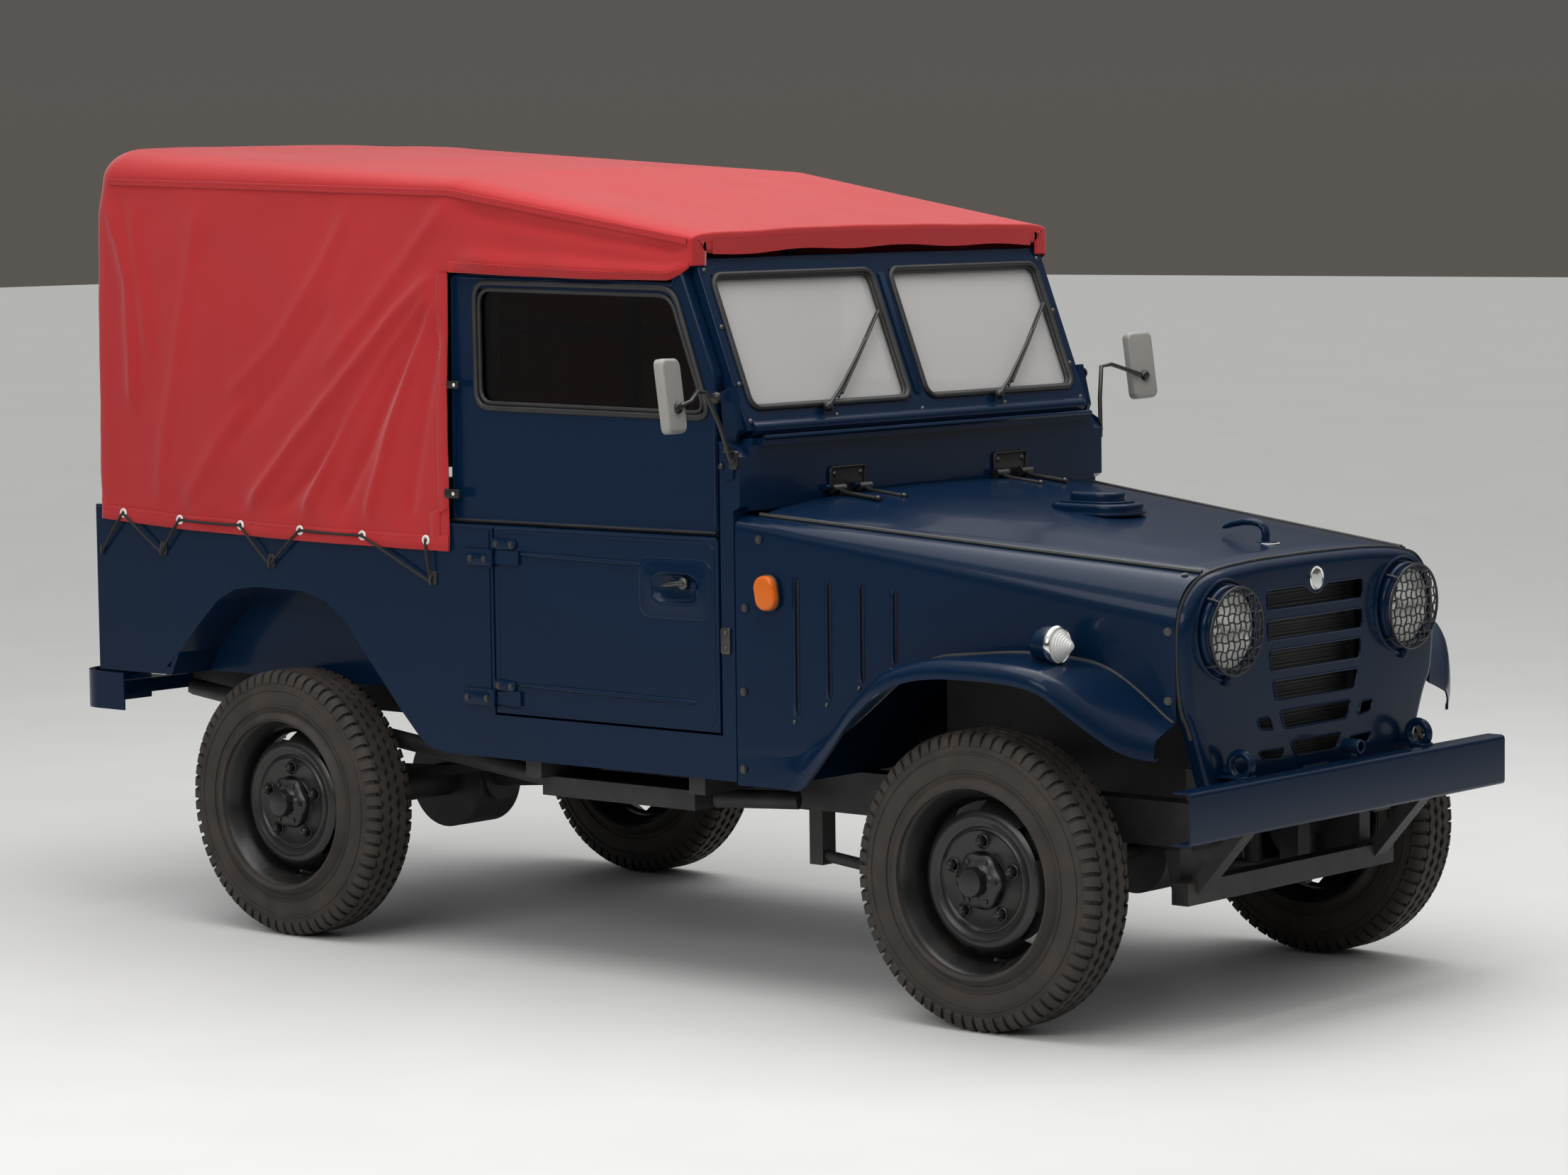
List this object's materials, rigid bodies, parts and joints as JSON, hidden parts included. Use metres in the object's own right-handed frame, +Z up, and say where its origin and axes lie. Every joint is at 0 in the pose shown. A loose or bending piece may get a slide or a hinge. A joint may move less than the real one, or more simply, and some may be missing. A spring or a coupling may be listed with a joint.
{
  "type": "army 4x4 car",
  "caption": "Open-bodied army field car with canvas canopy, rear-hinged steel doors with side screens, slotted grille, guarded headlamps, steel disc wheels and leaf-sprung rear axle.",
  "frame": {"origin": "on the ground, at the middle of the car's box", "axes": "+X forward, +Y to the car's left, +Z up"},
  "size_m": [3.52, 1.8672, 1.986],
  "materials": {
    "paint": "gloss dark blue paint, lightly orange-peeled",
    "chassis_black": "satin black chassis paint, dusty",
    "engine": "dull grey casting",
    "glass": "clear flat glass",
    "side_glass": "clear side window over a dark cabin",
    "canvas": "woven red canvas with stitched hems",
    "seat_cover": "worn dark imitation leather",
    "black_plastic": "satin black",
    "tyre": "brownish black tyre rubber",
    "wheel_black": "satin black enamel",
    "lamp_lens": "ribbed clear and coloured lenses",
    "mirror_grey": "aged light grey",
    "rubber": "weathered black rubber",
    "chrome": "polished",
    "white_eyelet": "white rings",
    "amber": "amber lens",
    "red_lens": "red lens",
    "mirror_face": "silvered"
  },
  "bodies": {
    "body": {"chassis_frame": "chassis_black", "engine_block": "engine", "driveline": "chassis_black", "exhaust": "chassis_black", "body_tub": "paint", "cowl": "paint", "front_wings": "paint", "grille_panel": "paint", "radiator": "engine", "windscreen_frame": "paint", "windscreen_glass": "glass", "wipers": "black_plastic", "canopy": "canvas", "canopy_bows": "chassis_black", "seat_frames": "chassis_black", "seat_cushions": "seat_cover", "dashboard": "paint", "front_suspension": "chassis_black", "rear_axle": "chassis_black", "front_bumper": "paint", "front_guard": "chassis_black", "rear_bumperettes": "paint", "headlamps": "paint", "lamps": "lamp_lens", "mirrors": "mirror_grey"},
    "bonnet": {"bonnet": "paint"},
    "right_door": {"door_right": "paint", "door_top_right": "paint", "door_glass_right": "side_glass"},
    "left_door": {"door_left": "paint", "door_top_left": "paint", "door_glass_left": "side_glass"},
    "tailgate": {"tailgate": "paint"},
    "left_knuckle": {"knuckle_left": "chassis_black"},
    "right_knuckle": {"knuckle_right": "chassis_black"},
    "tie_rod": {"tie_rod": "chassis_black"},
    "steering_wheel": {"steering_wheel": "black_plastic"},
    "front_left_wheel": {"wheel_front_left": "wheel_black", "tyre_front_left": "tyre"},
    "front_right_wheel": {"wheel_front_right": "wheel_black", "tyre_front_right": "tyre"},
    "rear_left_wheel": {"wheel_rear_left": "wheel_black", "tyre_rear_left": "tyre"},
    "rear_right_wheel": {"wheel_rear_right": "wheel_black", "tyre_rear_right": "tyre"}
  },
  "joints": [
    {"name": "bonnet_hinge", "type": "hinge", "parent": "body", "child": "bonnet", "pos_m": [0.556, 0, 1.16], "axis": [0, -1, 0], "range_deg": [0, 62]},
    {"name": "right_door_hinge", "type": "hinge", "parent": "body", "child": "right_door", "pos_m": [-0.237, -0.7, 0.985], "axis": [0, 0, -1], "range_deg": [0, 78]},
    {"name": "left_door_hinge", "type": "hinge", "parent": "body", "child": "left_door", "pos_m": [-0.237, 0.7, 0.985], "axis": [0, 0, 1], "range_deg": [0, 78]},
    {"name": "tailgate_hinge", "type": "hinge", "parent": "body", "child": "tailgate", "pos_m": [-1.683, 0, 0.642], "axis": [0, -1, 0], "range_deg": [0, 90]},
    {"name": "left_steer", "type": "hinge", "parent": "body", "child": "left_knuckle", "pos_m": [1.235, 0.575, 0.335], "axis": [0, 0, 1], "range_deg": [-28, 28]},
    {"name": "right_steer", "type": "hinge", "parent": "body", "child": "right_knuckle", "pos_m": [1.235, -0.575, 0.335], "axis": [0, 0, 1], "range_deg": [-28, 28]},
    {"name": "tie_rod_end", "type": "hinge", "parent": "left_knuckle", "child": "tie_rod", "pos_m": [1.03, 0.535, 0.29], "axis": [0, 0, 1], "range_deg": [-28, 28]},
    {"name": "steering_wheel_turn", "type": "hinge", "parent": "body", "child": "steering_wheel", "pos_m": [0.226, 0.33, 1.125], "axis": [-0.8785, 0, 0.4778], "range_deg": [-392, 392]},
    {"name": "front_left_spin", "type": "hinge", "parent": "left_knuckle", "child": "front_left_wheel", "pos_m": [1.235, 0.648, 0.335], "axis": [0, 1, 0], "continuous": true},
    {"name": "front_right_spin", "type": "hinge", "parent": "right_knuckle", "child": "front_right_wheel", "pos_m": [1.235, -0.648, 0.335], "axis": [0, 1, 0], "continuous": true},
    {"name": "rear_left_spin", "type": "hinge", "parent": "body", "child": "rear_left_wheel", "pos_m": [-0.965, 0.648, 0.335], "axis": [0, 1, 0], "continuous": true},
    {"name": "rear_right_spin", "type": "hinge", "parent": "body", "child": "rear_right_wheel", "pos_m": [-0.965, -0.648, 0.335], "axis": [0, 1, 0], "continuous": true}
  ],
  "couplings": [
    {"joint": "right_steer", "follows": "left_steer", "ratio": 1},
    {"joint": "tie_rod_end", "follows": "left_steer", "ratio": -1},
    {"joint": "steering_wheel_turn", "follows": "left_steer", "ratio": 14}
  ]
}
